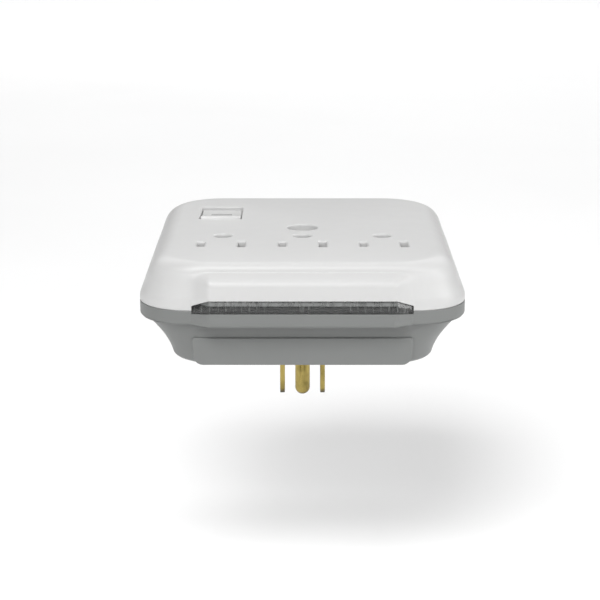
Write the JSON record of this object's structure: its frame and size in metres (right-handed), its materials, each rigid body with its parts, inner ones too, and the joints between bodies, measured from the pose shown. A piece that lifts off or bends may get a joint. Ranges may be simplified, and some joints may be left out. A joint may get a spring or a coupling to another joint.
{
  "type": "surge protector wall tap",
  "caption": "Plug-in wall tap: white cover with a row of grounded outlets, a rocker switch and a captive centre screw, over a coved grey housing with an indicator window.",
  "frame": {"origin": "on the plane of the wall plate, midway between the two flat blades", "axes": "+Z out of the wall towards the user, +Y from the blades towards the ground pin and mounting screw, +X towards the neutral blade"},
  "size_m": [0.0998, 0.1073, 0.0534],
  "materials": {
    "white_plastic": "satin gloss",
    "rocker_plastic": "satin gloss",
    "grey_plastic": "fine moulded texture",
    "smoked_window": "clear moulded, ribbed behind",
    "black_plastic": "matte",
    "brass": "drawn and lightly tarnished",
    "zinc_steel": "zinc plated",
    "spring_steel": "bright drawn",
    "circuit_board": "solder mask",
    "varistor_coating": "dipped epoxy",
    "capacitor_case": "moulded",
    "fuse_body": "ceramic",
    "resistor_body": "lacquered",
    "green_light": "clear epoxy",
    "amber_light": "clear epoxy",
    "black_wire": "insulation",
    "white_wire": "insulation",
    "green_wire": "insulation",
    "red_wire": "insulation",
    "blank_label": "foil film"
  },
  "bodies": {
    "case": {"top_cover": "white_plastic", "bottom_housing": "grey_plastic", "indicator_lens": "smoked_window", "light_baffle": "black_plastic", "line_blade": "brass", "neutral_blade": "brass", "ground_pin": "brass", "contact_carrier": "black_plastic", "line_bus": "brass", "neutral_bus": "brass", "ground_bus": "brass", "surge_board": "circuit_board", "varistor_line_neutral": "varistor_coating", "varistor_line_ground": "varistor_coating", "varistor_neutral_ground": "varistor_coating", "thermal_fuse": "fuse_body", "filter_capacitor": "capacitor_case", "board_resistors": "resistor_body", "board_diodes": "black_plastic", "indicator_board": "circuit_board", "led_protected": "green_light", "led_wiring_fault": "amber_light", "led_resistors": "resistor_body", "switch_housing": "white_plastic", "switch_feed_terminal": "brass", "switch_load_terminal": "brass", "case_screws": "zinc_steel", "switch_feed_lead": "black_wire", "switch_load_lead": "black_wire", "line_bus_lead": "black_wire", "neutral_lead": "white_wire", "ground_lead": "green_wire", "indicator_leads": "red_wire", "rating_label": "blank_label"},
    "rocker": {"switch_rocker": "rocker_plastic", "switch_plunger": "brass", "switch_spring": "spring_steel"},
    "contact_arm": {"switch_contact_arm": "brass"},
    "screw_carrier": {"screw_clip": "spring_steel"},
    "screw": {"mounting_screw": "zinc_steel"}
  },
  "joints": [
    {"name": "rocker_tilt", "type": "hinge", "parent": "case", "child": "rocker", "pos_m": [-0.0273, 0.0469, 0.0275], "axis": [1, 0, 0], "range_deg": [0, 11]},
    {"name": "contact_arm_tilt", "type": "hinge", "parent": "case", "child": "contact_arm", "pos_m": [-0.0273, 0.0469, 0.0203], "axis": [1, 0, 0], "range_deg": [-16, 0]},
    {"name": "screw_advance", "type": "slide", "parent": "case", "child": "screw_carrier", "axis": [0, 0, 1], "range_m": [0, 0.006]},
    {"name": "screw_turn", "type": "hinge", "parent": "screw_carrier", "child": "screw", "pos_m": [0, 0.0242, 0.0216], "axis": [0, 0, 1], "range_deg": [0, 2722]}
  ],
  "couplings": [
    {"joint": "contact_arm_tilt", "follows": "rocker_tilt", "ratio": -1.4545},
    {"joint": "screw_turn", "follows": "screw_advance", "rad_per_m": 7915.8}
  ]
}
